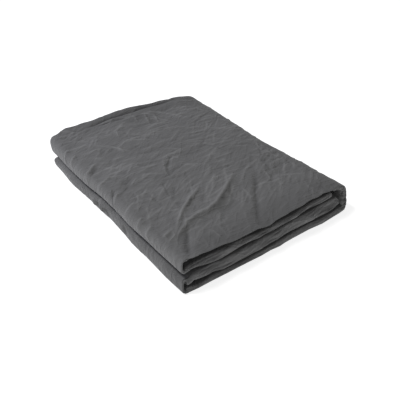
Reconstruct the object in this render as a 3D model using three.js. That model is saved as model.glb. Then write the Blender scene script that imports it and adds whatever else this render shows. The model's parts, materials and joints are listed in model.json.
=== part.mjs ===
// A linen duvet cover, washed and folded for the shelf, in millimetres with +Z up.
//
// The cover is laid as a strip of many plies. Both ends of the strip are turned in to its middle, and the strip
// is then closed like a book. In section one thick band runs on without a break: the second layer from the top,
// the upper bight on the left, the top layer, the spine on the right, the bottom layer, the lower bight and the
// third layer. X runs across the folds, from the bights to the spine, and Y runs along them. The origin is the
// middle of the underside, which lies flat.
import * as THREE from "three";

// Driving sizes of the folded pile
const ACROSS = 263.4;
const ALONG = 354;
const HIGH = 44;

const CLOTH_COLOUR = 0x5d5d5d;
const CLOTH_ROUGHNESS = 0.95;

// Places that the layers share. The second and third layers stop short of the spine.
const LEFT = -ACROSS / 2;
const RIGHT = ACROSS / 2;
const UPPER_REACH = 9;
const LOWER_REACH = 8;
const SPINE_REACH = 20;
const LOWER_BIGHT_BACK = 0.5;
const SPINE_FOOT = 8;
const SECOND_SHORT = 32;
const THIRD_SHORT = 25;
const PARTING = 1;
const TOP_THICK = 2.2;
const UPPER_START = LEFT + UPPER_REACH;
const LOWER_START = LEFT + LOWER_BIGHT_BACK + LOWER_REACH;
const SPINE_START = RIGHT - SPINE_REACH - SPINE_FOOT / 2;
const SECOND_END = RIGHT - SECOND_SHORT;
const THIRD_END = RIGHT - THIRD_SHORT;

// Heights of the layers' uneven faces, in even steps from the bights to the free end of the second layer
const FACES = [
  {
    face: "second upper",
    bights: 36.7, sixth: 36.3, third: 34.2, half: 33.5, twoThirds: 33.6, fiveSixths: 34.9, freeEnd: 37.3,
  },
  {
    face: "parting",
    bights: 26.0, sixth: 22.2, third: 24.0, half: 25.2, twoThirds: 26.3, fiveSixths: 27.0, freeEnd: 29.2,
  },
  {
    face: "third lower",
    bights: 13.6, sixth: 8.3, third: 7.2, half: 7.5, twoThirds: 10.6, fiveSixths: 10.6, freeEnd: 9.1,
  },
  {
    face: "bottom upper",
    bights: 5.0, sixth: 4.5, third: 3.6, half: 3.8, twoThirds: 4.5, fiveSixths: 5.5, freeEnd: 5.3,
  },
];
const FACE_PLACES = ["bights", "sixth", "third", "half", "twoThirds", "fiveSixths", "freeEnd"];

// Heights of the even faces
const LEVELS = { floor: 0, "under the top": HIGH - TOP_THICK, top: HIGH };

// Layers, in the order in which the band passes them. The outer face lies outerDrop below the face it names.
// frontIn says how far a layer stops short of the pile's front, and frontLean how far its inner face stands back
// from its outer one there. backFirst and backLast say how far it stops short of the back where it starts and
// ends, and backBow how far it bows out between them. nose is the length of its round free end. Inside the pile
// the inner face reaches as far as the face of the next layer that fills names.
const LAYERS = [
  {
    name: "second", steps: 16, startX: SECOND_END, endX: UPPER_START,
    outer: "parting", outerDrop: 0, inner: "second upper",
    frontIn: 4, frontLean: 0, backFirst: 6, backLast: 5, backBow: 0, nose: 4,
  },
  {
    name: "top", steps: 34, startX: UPPER_START, endX: SPINE_START,
    outer: "top", outerDrop: 0, inner: "under the top", fills: "second upper",
    frontIn: 0, frontLean: 10, backFirst: 0, backLast: 7, backBow: 5, nose: 0,
  },
  {
    name: "bottom", steps: 12, startX: SPINE_START + SPINE_FOOT, endX: LOWER_START,
    outer: "floor", outerDrop: 0, inner: "bottom upper",
    frontIn: 2, frontLean: 0, backFirst: 5, backLast: 3, backBow: 0, nose: 0,
  },
  {
    name: "third", steps: 16, startX: LOWER_START, endX: THIRD_END,
    outer: "parting", outerDrop: PARTING, inner: "third lower", fills: "bottom upper",
    frontIn: 1.5, frontLean: 0, backFirst: 5, backLast: 5, backBow: 0, nose: 9,
  },
];

// Turns between those layers. Each is half of a rounded square that bulges by its reach to one side, and square
// is the power that gives its corners: 2 is an ellipse. The band's thickness goes from thickFirst to thickLast,
// runIn is the length in which its layers pass into it, and backFirst and backLast say how far it stops short of
// the pile's back where the band comes in and goes out.
const TURNS = [
  {
    name: "upper bight", steps: 12, side: -1, reach: UPPER_REACH, square: 3,
    thickFirst: 4, thickLast: 2.2, runIn: 4, frontIn: 3, backFirst: 17, backLast: 8,
  },
  {
    name: "spine", steps: 14, side: 1, reach: SPINE_REACH, square: 2.3,
    thickFirst: 3.5, thickLast: 10, runIn: 7, frontIn: 1, backFirst: 4, backLast: 4,
  },
  {
    name: "lower bight", steps: 12, side: -1, reach: LOWER_REACH, square: 3.2,
    thickFirst: 4.5, thickLast: 4.5, runIn: 4, frontIn: 3, backFirst: 20, backLast: 21,
  },
];

// Share of a turn in which its thickness changes, the length in which a layer's back end runs into that of a turn,
// and how much closer a layer's rows stand at its ends: 0 is even
const THICK_CHANGE = 0.6;
const CORNER_RUN = 22;
const END_CROWDING = 0.6;

// The run from the pile's ends and sides in which a layer fills the space to the next one, and the gap it leaves
const FILL_RUN = 40;
const FILL_GAP = 1.2;

// Rounding of the band's long edges and of its two free ends
const EDGE_ROUND = 3;
const NOSE_STEPS = 3;
const NOSE_END = 0.9;

// Points of one cross ring: along the outer face, along the inner face and round each edge
const OUTER_POINTS = 32;
const INNER_POINTS = 8;
const EDGE_POINTS = 3;

// How the pile has settled: its height as a share of HIGH, in even steps along Y and across X
const SETTLED = [
  { place: "front", bights: 1.12, left: 1.03, middle: 0.99, right: 1.09, spine: 1.06 },
  { place: "front quarter", bights: 1.02, left: 1.05, middle: 1.05, right: 1.06, spine: 1.03 },
  { place: "middle", bights: 0.98, left: 1.06, middle: 1.08, right: 1.07, spine: 1.0 },
  { place: "back quarter", bights: 0.95, left: 1.06, middle: 1.09, right: 1.06, spine: 0.98 },
  { place: "back", bights: 0.92, left: 1.02, middle: 1.12, right: 1.05, spine: 0.89 },
];
const ACROSS_PLACES = ["bights", "left", "middle", "right", "spine"];

// The ends are not quite square to the sides: how far an end runs along Y for each millimetre of X
const FRONT_SKEW = 0.035;
const BACK_SKEW = 0.005;

// Sinking of the parting between the bights towards the back: the most it sinks, the share of the length from the
// front at which it starts, and where it fades across X from the bights
const PARTING_SINK = 6.8;
const SINK_START = 0.3;
const SINK_FADE_NEAR = 30;
const SINK_FADE_FAR = 90;

// Power with which the sides' bulges fade towards the middle
const SIDE_POWER = 4;

// Bulges and pinches of the two sides: out is the most that the side moves, wide is the half length along Y
const SIDE_BULGES = [
  { side: -1, y: 165, wide: 45, out: -1 },
  { side: -1, y: 95, wide: 30, out: 1.2 },
  { side: -1, y: -25, wide: 18, out: -1.2 },
  { side: -1, y: -185, wide: 45, out: -3 },
  { side: 1, y: -20, wide: 100, out: -6.5 },
  { side: 1, y: -62, wide: 10, out: 1.2 },
  { side: 1, y: -160, wide: 40, out: 2 },
];

// Main creases of the top: a soft ridge (high above 0) or trough (high below 0) along a straight stretch
const CREASES = [
  { fromX: 23, fromY: -75, toX: -25, toY: -102, wide: 8, high: 1.6 },
  { fromX: -25, fromY: -102, toX: -71, toY: -120, wide: 8, high: 1.8 },
  { fromX: -7, fromY: -107, toX: -61, toY: -132, wide: 10, high: -1.4 },
  { fromX: -43, fromY: -78, toX: -105, toY: -115, wide: 8, high: 1.5 },
  { fromX: -89, fromY: -130, toX: -114, toY: -168, wide: 9, high: -1.3 },
  { fromX: 43, fromY: -92, toX: -14, toY: -171, wide: 7, high: -1.2 },
  { fromX: 72, fromY: -95, toX: 53, toY: -120, wide: 9, high: -1.6 },
  { fromX: -5, fromY: 18, toX: -47, toY: -22, wide: 9, high: -1.5 },
  { fromX: -47, fromY: 41, toX: 35, toY: 46, wide: 8, high: -1.2 },
];
const CREASE_FADE_LOW = 0.86 * HIGH;
const CREASE_FADE_HIGH = 0.95 * HIGH;

function mix(a, b, share) {
  return a + (b - a) * share;
}

function smooth(low, high, value) {
  return THREE.MathUtils.smoothstep(value, low, high);
}

// A bell curve that is 1 in the middle and falls to about a third at 1
function bell(value) {
  return Math.exp(-value * value);
}

// The height of a layer's face at a place across the section
function faceHeight(face, x) {
  const level = LEVELS[face];
  if (level !== undefined) return level;
  const heights = FACES.find((row) => row.face === face);
  const share = (x - UPPER_START) / (SECOND_END - UPPER_START);
  return curveThrough(FACE_PLACES.map((place) => heights[place]), share);
}

// How far a layer's inner face comes down to the next layer at a place inside the pile
function fillAt(layer, x) {
  if (!layer.fills) return 0;
  const space = faceHeight(layer.inner, x) - faceHeight(layer.fills, x) - FILL_GAP;
  return space * smooth(0, FILL_RUN, x - UPPER_START) * smooth(0, FILL_RUN, SECOND_END - x);
}

// Brings a layer's row nearer to the thickness and the ends of a turn
function runInto(row, turn, thick, backIn, distance) {
  const near = 1 - smooth(0, turn.runIn, distance);
  const nearCorner = 1 - smooth(0, CORNER_RUN, distance);
  row.thick = mix(row.thick, thick, near);
  row.frontIn = mix(row.frontIn, turn.frontIn, near);
  row.frontLean = mix(row.frontLean, 0, near);
  row.backIn = mix(row.backIn, backIn, nearCorner);
}

// One layer as rows of the band. Near a turn its thickness and ends run into that turn's own.
function layerRows(layer, turnBefore, turnAfter) {
  const length = Math.abs(layer.endX - layer.startX);
  const rows = [];
  for (let step = 0; step <= layer.steps; step++) {
    const even = step / layer.steps;
    const share = mix(even, (1 - Math.cos(Math.PI * even)) / 2, END_CROWDING);
    const x = mix(layer.startX, layer.endX, share);
    const z = faceHeight(layer.outer, x) - layer.outerDrop;
    const row = {
      x,
      z,
      thick: Math.abs(z - faceHeight(layer.inner, x)),
      fill: fillAt(layer, x),
      frontIn: layer.frontIn,
      backIn: mix(layer.backFirst, layer.backLast, share) - layer.backBow * Math.sin(Math.PI * share),
      frontLean: layer.frontLean,
    };
    if (turnBefore) runInto(row, turnBefore, turnBefore.thickLast, turnBefore.backLast, share * length);
    if (turnAfter) runInto(row, turnAfter, turnAfter.thickFirst, turnAfter.backFirst, (1 - share) * length);
    rows.push(row);
  }
  return rows;
}

// One turn as rows of the band, between the last row of a layer and the first row of the next one
function turnRows(turn, before, after) {
  const middle = (before.z + after.z) / 2;
  const half = (after.z - before.z) / 2;
  const power = 2 / turn.square;
  const rows = [];
  for (let step = 1; step < turn.steps; step++) {
    const share = step / turn.steps;
    const angle = Math.PI * (share - 0.5);
    const out = Math.cos(angle) ** power;
    const rise = Math.sign(angle) * Math.abs(Math.sin(angle)) ** power;
    rows.push({
      x: mix(before.x, after.x, share) + turn.side * turn.reach * out,
      z: middle + half * rise,
      thick: mix(turn.thickFirst, turn.thickLast, smooth(0, THICK_CHANGE, share)),
      fill: 0,
      frontIn: turn.frontIn,
      backIn: mix(turn.backFirst, turn.backLast, share),
      frontLean: 0,
    });
  }
  return rows;
}

// The outward direction at each row, square to the band's path
function setOutward(rows) {
  rows.forEach((row, index) => {
    const before = rows[Math.max(index - 1, 0)];
    const after = rows[Math.min(index + 1, rows.length - 1)];
    const length = Math.hypot(after.x - before.x, after.z - before.z);
    row.outX = -(after.z - before.z) / length;
    row.outZ = (after.x - before.x) / length;
    row.outerDepth = 0;
    row.innerDepth = row.thick;
  });
}

// Rows past a free end, each thinner than the last one, so that the end is round
function noseRows(end, length) {
  const rows = [];
  for (let step = 1; step <= NOSE_STEPS; step++) {
    const angle = (NOSE_END * Math.PI * step) / (2 * NOSE_STEPS);
    const half = (end.thick / 2) * Math.cos(angle);
    rows.push({
      ...end,
      x: end.x + length * Math.sin(angle),
      outerDepth: end.thick / 2 - half,
      innerDepth: end.thick / 2 + half,
    });
  }
  return rows;
}

// The whole band, from the free end of the second layer to the free end of the third
function bandRows() {
  const layers = LAYERS.map((layer, index) => layerRows(layer, TURNS[index - 1], TURNS[index]));
  const rows = [...layers[0]];
  TURNS.forEach((turn, index) => {
    const next = layers[index + 1];
    rows.push(...turnRows(turn, layers[index].at(-1), next[0]), ...next);
  });
  setOutward(rows);
  const first = noseRows(rows[0], LAYERS[0].nose).reverse();
  const last = noseRows(rows.at(-1), LAYERS.at(-1).nose);
  return [...first, ...rows, ...last];
}

// The closed ring round the band at one row, as places along Y with depths below the outer face: the outer face
// from front to back, the back edge, the inner face from back to front, and the front edge
function ringAt(row) {
  const middle = (row.outerDepth + row.innerDepth) / 2;
  const half = (row.innerDepth - row.outerDepth) / 2;
  const round = Math.min(EDGE_ROUND, half);
  const front = -ALONG / 2 + row.frontIn + round;
  const back = ALONG / 2 - row.backIn - round;
  const ring = [];
  for (let step = 0; step < OUTER_POINTS; step++) {
    ring.push({ y: mix(front, back, step / (OUTER_POINTS - 1)), depth: row.outerDepth });
  }
  for (let step = 1; step <= EDGE_POINTS; step++) {
    const angle = (Math.PI * step) / (EDGE_POINTS + 1);
    ring.push({ y: back + round * Math.sin(angle), depth: middle - half * Math.cos(angle) });
  }
  const innerFront = front + row.frontLean;
  for (let step = 0; step < INNER_POINTS; step++) {
    const y = mix(back, innerFront, step / (INNER_POINTS - 1));
    const inside = smooth(0, FILL_RUN, Math.min(back - y, y - innerFront));
    ring.push({ y, depth: row.innerDepth + row.fill * inside });
  }
  for (let step = 1; step <= EDGE_POINTS; step++) {
    const angle = (Math.PI * step) / (EDGE_POINTS + 1);
    const leant = row.frontLean * ((1 + Math.cos(angle)) / 2) ** 2;
    ring.push({ y: front + leant - round * Math.sin(angle), depth: middle + half * Math.cos(angle) });
  }
  return ring;
}

// A smooth curve through evenly spaced values, at a share of its length
function curveThrough(values, share) {
  const last = values.length - 1;
  const place = THREE.MathUtils.clamp(share, 0, 1) * last;
  const index = Math.min(Math.floor(place), last - 1);
  const before = values[index - 1] ?? 2 * values[index] - values[index + 1];
  const after = values[index + 2] ?? 2 * values[index + 1] - values[index];
  const t = place - index;
  const startSlope = (values[index + 1] - before) / 2;
  const endSlope = (after - values[index]) / 2;
  return (
    values[index] * (1 + 2 * t) * (1 - t) ** 2 +
    startSlope * t * (1 - t) ** 2 +
    values[index + 1] * t * t * (3 - 2 * t) +
    endSlope * t * t * (t - 1)
  );
}

// The settled height at a place, as a share of the section's height
function settledShare(x, y) {
  const shareX = (x - LEFT) / ACROSS;
  const shareY = y / ALONG + 0.5;
  const heights = SETTLED.map((row) => curveThrough(ACROSS_PLACES.map((place) => row[place]), shareX));
  return curveThrough(heights, shareY);
}

// How far the creases raise or lower the top at a place
function creaseHeight(x, y) {
  let height = 0;
  for (const crease of CREASES) {
    const runX = crease.toX - crease.fromX;
    const runY = crease.toY - crease.fromY;
    const length = Math.hypot(runX, runY);
    const along = ((x - crease.fromX) * runX + (y - crease.fromY) * runY) / length;
    const aside = ((x - crease.fromX) * runY - (y - crease.fromY) * runX) / length;
    const ends = smooth(-crease.wide, crease.wide, along) * smooth(-crease.wide, crease.wide, length - along);
    height += crease.high * ends * bell(aside / crease.wide);
  }
  return height;
}

// How far the parting between the bights sinks at a place
function partingSink(x, y) {
  const along = smooth(SINK_START, 1, y / ALONG + 0.5);
  const across = 1 - smooth(SINK_FADE_NEAR, SINK_FADE_FAR, x - LEFT);
  return PARTING_SINK * along * across;
}

// Moves a point of the even section to where it lies in the settled pile. Heights grow in step with the height
// of the section everywhere, so no two layers can cross and the underside stays flat. The sinking of the parting
// is 0 at the floor and at the top.
function settle(x, y, z) {
  const sunk = z - partingSink(x, y) * Math.sin((Math.PI * z) / HIGH);
  const onTop = smooth(CREASE_FADE_LOW, CREASE_FADE_HIGH, z);
  const sideShare = Math.min(1, Math.abs(x) / RIGHT) ** SIDE_POWER;
  let bulge = 0;
  for (const row of SIDE_BULGES) {
    if (row.side * x > 0) bulge += row.side * row.out * bell((y - row.y) / row.wide);
  }
  return new THREE.Vector3(
    x + bulge * sideShare,
    y + x * mix(FRONT_SKEW, BACK_SKEW, y / ALONG + 0.5),
    sunk * settledShare(x, y) + onTop * creaseHeight(x, y),
  );
}

// Triangles that close a free end, between the ring's outer face and the rest of the ring
function endTriangles(start, ring) {
  const outer = [];
  const rest = [];
  for (let index = 0; index < OUTER_POINTS; index++) outer.push(index);
  for (let index = ring.length - 1; index >= OUTER_POINTS; index--) rest.push(index);
  const triangles = [];
  let a = 0;
  let b = 0;
  while (a < outer.length - 1 || b < rest.length - 1) {
    const outerNext = a < outer.length - 1 ? ring[outer[a + 1]].y : Infinity;
    const restNext = b < rest.length - 1 ? ring[rest[b + 1]].y : Infinity;
    if (outerNext <= restNext) {
      triangles.push([outer[a], outer[a + 1], rest[b]]);
      a++;
    } else {
      triangles.push([outer[a], rest[b + 1], rest[b]]);
      b++;
    }
  }
  return triangles.map((corners) => corners.map((corner) => start + corner));
}

// The folded cover as one closed surface, its origin at the middle of the underside
function foldedCover() {
  const rows = bandRows();
  const rings = rows.map(ringAt);
  const count = rings[0].length;
  const points = rows.flatMap((row, index) =>
    rings[index].map(({ y, depth }) => settle(row.x - row.outX * depth, y, row.z - row.outZ * depth)),
  );
  const triangles = [];
  for (let row = 0; row < rows.length - 1; row++) {
    for (let index = 0; index < count; index++) {
      const next = (index + 1) % count;
      const a = row * count + index;
      const b = (row + 1) * count + index;
      const c = (row + 1) * count + next;
      const d = row * count + next;
      triangles.push([a, b, c], [a, c, d]);
    }
  }
  const lastStart = (rows.length - 1) * count;
  triangles.push(...endTriangles(0, rings[0]));
  triangles.push(...endTriangles(lastStart, rings.at(-1)).map((corners) => corners.reverse()));

  const geometry = new THREE.BufferGeometry().setFromPoints(points);
  geometry.setIndex(triangles.flat());
  geometry.computeBoundingBox();
  const { min, max } = geometry.boundingBox;
  geometry.translate(-(min.x + max.x) / 2, -(min.y + max.y) / 2, -min.z);
  geometry.computeVertexNormals();
  return geometry;
}

const linen = new THREE.MeshStandardMaterial({
  color: CLOTH_COLOUR,
  roughness: CLOTH_ROUGHNESS,
  metalness: 0,
});
const cover = new THREE.Mesh(foldedCover(), linen);
cover.name = "folded_cover";

const duvetCover = new THREE.Group();
duvetCover.add(cover);

export default duvetCover;
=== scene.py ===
"""A folded linen duvet cover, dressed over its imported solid, and a plain studio stage.

The cover is one thick band of many plies. In section the band runs from the second layer round the upper
bight to the top, down the spine, along the bottom, round the lower bight and into the third layer. X runs
across the folds, from the bights to the spine, and Y along them. Tables are in millimetres, and MM turns
them into metres.
"""

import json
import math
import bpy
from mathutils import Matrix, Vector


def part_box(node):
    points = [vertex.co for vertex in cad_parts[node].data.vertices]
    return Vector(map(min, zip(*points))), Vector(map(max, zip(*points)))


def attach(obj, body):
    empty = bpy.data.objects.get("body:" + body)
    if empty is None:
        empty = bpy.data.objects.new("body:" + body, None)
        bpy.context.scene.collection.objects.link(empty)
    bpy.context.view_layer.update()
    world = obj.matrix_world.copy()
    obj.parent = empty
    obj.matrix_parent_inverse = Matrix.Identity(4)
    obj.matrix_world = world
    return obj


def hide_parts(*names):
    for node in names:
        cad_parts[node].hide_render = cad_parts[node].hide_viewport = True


bl_info = {
    "name": "Folded duvet cover",
    "version": (1, 0, 0),
    "blender": (4, 5, 0),
    "location": "3D View > Sidebar > Duvet cover",
    "description": "Makes a folded linen duvet cover and a plain stage for it",
    "category": "Object",
}

import bpy
import numpy as np
from mathutils import Matrix, Vector

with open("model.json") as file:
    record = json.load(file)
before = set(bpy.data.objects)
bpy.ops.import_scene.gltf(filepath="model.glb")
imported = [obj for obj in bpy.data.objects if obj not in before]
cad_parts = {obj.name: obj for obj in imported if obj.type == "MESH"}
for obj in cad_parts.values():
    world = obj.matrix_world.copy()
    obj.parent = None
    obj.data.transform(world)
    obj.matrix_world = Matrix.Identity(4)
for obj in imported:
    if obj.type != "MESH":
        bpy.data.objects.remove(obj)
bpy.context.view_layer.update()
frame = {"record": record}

NODE = "folded_cover"
BODY = "root"
MM = 0.001

NODE_LOW, NODE_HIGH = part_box(NODE)
NODE_SIZE = NODE_HIGH - NODE_LOW
LINEN_COLOUR = frame["record"]["materials"][0]["base_color"]

# The even section as shares of the settled pile's box, which its bulges make larger
ACROSS_SHARE = 263.4 / 265.8
ALONG_SHARE = 354 / 359.3
HIGH_SHARE = 44 / 49.3

# Section: how far each turn reaches out, how far the lower bight stands back, how much further out the
# spine's foot lies than its head, how far the second and third layers stop short of the spine, the gap at
# which they part, the groove between the bights with the run in which it closes, and the top's thickness
UPPER_REACH = 9.0
LOWER_REACH = 8.0
SPINE_REACH = 20.0
LOWER_BIGHT_BACK = 0.5
SPINE_FOOT = 16.0
SECOND_SHORT = 32.0
THIRD_SHORT = 25.0
PARTING = 1.0
GROOVE = 4.0
GROOVE_RUN = 7.0
TOP_THICK = 2.2

# Heights of the layers' faces above the floor, in even steps from the bights to the free ends by the spine
FACES = {
    "second upper": (32.4, 34.6, 34.4, 33.6, 33.6, 34.9, 37.3),
    "parting": (26.0, 22.2, 24.0, 25.2, 26.3, 27.0, 29.2),
    "third lower": (13.6, 8.3, 7.2, 7.5, 10.6, 10.6, 9.1),
    "bottom upper": (5.0, 6.6, 6.0, 6.2, 8.6, 8.8, 7.4),
}

# Layers in the order in which the band passes them: rows along the band, how far the front end stops short
# of the pile's own and how far the inner face stands back there, how far the back end stops short where the
# layer starts and ends and how far it bows out between, how much of the creases it takes, how much painted
# light makes its front edge paler and, if it has a free end, how long that end's rounding is
LAYERS = {
    "second": {
        "rows": 24, "front_in": 4.0, "front_lean": 0.0,
        "back_first": 6.0, "back_last": 5.0, "back_bow": 0.0, "creased": 0.0, "worn": 0.0, "nose": 4.0,
    },
    "top": {
        "rows": 210, "front_in": 0.0, "front_lean": 10.0,
        "back_first": 0.0, "back_last": 7.0, "back_bow": 5.0, "creased": 1.0, "worn": 0.0,
    },
    "bottom": {
        "rows": 12, "front_in": 0.3, "front_lean": 0.0,
        # Painted light: the bottom's front edge is painted paler, as if lit from below
        "back_first": 5.0, "back_last": 3.0, "back_bow": 0.0, "creased": 0.0, "worn": 0.9,
    },
    "third": {
        "rows": 24, "front_in": 1.5, "front_lean": 0.0,
        "back_first": 5.0, "back_last": 5.0, "back_bow": 0.0, "creased": 0.0, "worn": 0.1, "nose": 9.0,
    },
}

# Turns between those layers: rows along the band, side of the bulge, its reach, the powers of its rounded
# square where the band comes in and goes out, the band's thickness, the run in which its layers pass into
# it, how far it stops short of the front and of the back, the height of the pleats on its front edge, how
# much of the creases it takes, and its painted light above 0 and painted shade below 0. Several values are
# spread evenly along the turn.
TURNS = {
    "upper bight": {
        "rows": 24, "side": -1, "reach": UPPER_REACH, "square": (3.0, 3.0), "thick": (7.0, 2.6, 2.2),
        "run_in": 4.0, "front": (3.0, 3.0), "back": (17.0, 8.0), "pleats": (0.0, 0.0),
        # Painted light: the upper bight is painted paler, as if lit from the side
        "creased": (0.0, 0.4, 0.5, 0.6, 1.0), "worn": (0.0, 0.2, 0.25, 0.15, 0.0),
    },
    "spine": {
        "rows": 40, "side": 1, "reach": SPINE_REACH, "square": (2.6, 4.2), "thick": (3.5, 9.5, 10.0),
        "run_in": 7.0, "front": (1.0, 4.2, 3.6, 2.0, 0.5), "back": (8.0, 6.0),
        "pleats": (0.0, 2.0, 2.4, 2.0, 0.0),
        "creased": (1.0, 1.0, 1.0, 0.8, 0.0), "worn": (0.0, 0.0),
    },
    "lower bight": {
        "rows": 20, "side": -1, "reach": LOWER_REACH, "square": (3.2, 3.2), "thick": (7.5, 3.0, 9.5),
        "run_in": 16.0, "front": (1.5, 1.5), "back": (20.0, 21.0), "pleats": (0.0, 0.0),
        # Painted shade: the lower bight is painted darker, as if shaded by the upper bight
        "creased": (0.0, 0.4, 0.5, 0.7, 0.6), "worn": (0.0, -0.2, -0.25, -0.2, 0.0),
    },
}

# Steps in which a turn's length is measured, how much a layer's rows crowd at its ends, and the run in which
# a layer's back end passes into that of a turn
TURN_STEPS = 400
END_CROWDING = 0.45
CORNER_RUN = 22.0

# Inside the pile the top fills the space down to the second layer, and the third down to the bottom: the
# run from the pile's ends and sides in which it comes to do so, and the gap that it leaves
FILL_RUN = 40.0
FILL_GAP = 3.0

# Rounding of the band's long edges, then of its two free ends: rows, and the share of a quarter turn that
# they go round
EDGE_ROUND = 3.0
NOSE_ROWS = 4
NOSE_END = 0.9

# Points of one ring round the band: along the outer face, along the inner face and round each edge
OUTER_POINTS = 236
INNER_POINTS = 16
EDGE_POINTS = 9

# Height of the settled pile as a share of the even section, from the front to the back, and in each row
# from the bights to the spine, then how far the front and the back run askew for each step across, and the
# place of the settled pile's middle
SETTLED = (
    (1.12, 1.03, 0.99, 1.09, 1.06),
    (1.02, 1.05, 1.05, 1.06, 1.03),
    (0.98, 1.06, 1.08, 1.07, 1.00),
    (0.95, 1.06, 1.09, 1.06, 0.98),
    (0.92, 1.02, 1.13, 1.09, 0.95),
)
FRONT_SKEW = 0.035
BACK_SKEW = 0.005
SETTLED_MIDDLE = (0.3, -0.7)

# Sinking of the parting between the bights towards the back, and where it starts and ends: as shares of
# the length from the front, and across X from the bights
PARTING_SINK = 6.8
SINK_ALONG = (0.3, 1.0)
SINK_ACROSS = (30.0, 90.0)

# Bulges and pinches of the sides, which fade inwards with a power of the distance from the middle: side,
# place along Y, half length and the most that the side moves out
SIDE_POWER = 4
SIDE_BULGES = (
    (-1, 165.0, 45.0, -1.0),
    (-1, 95.0, 30.0, 1.8),
    (-1, -10.0, 40.0, -1.6),
    (-1, -185.0, 45.0, -2.0),
    (1, 165.0, 50.0, 1.5),
    (1, -15.0, 90.0, -3.8),
    (1, -62.0, 10.0, 1.2),
    (1, -165.0, 40.0, 5.0),
)
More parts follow.
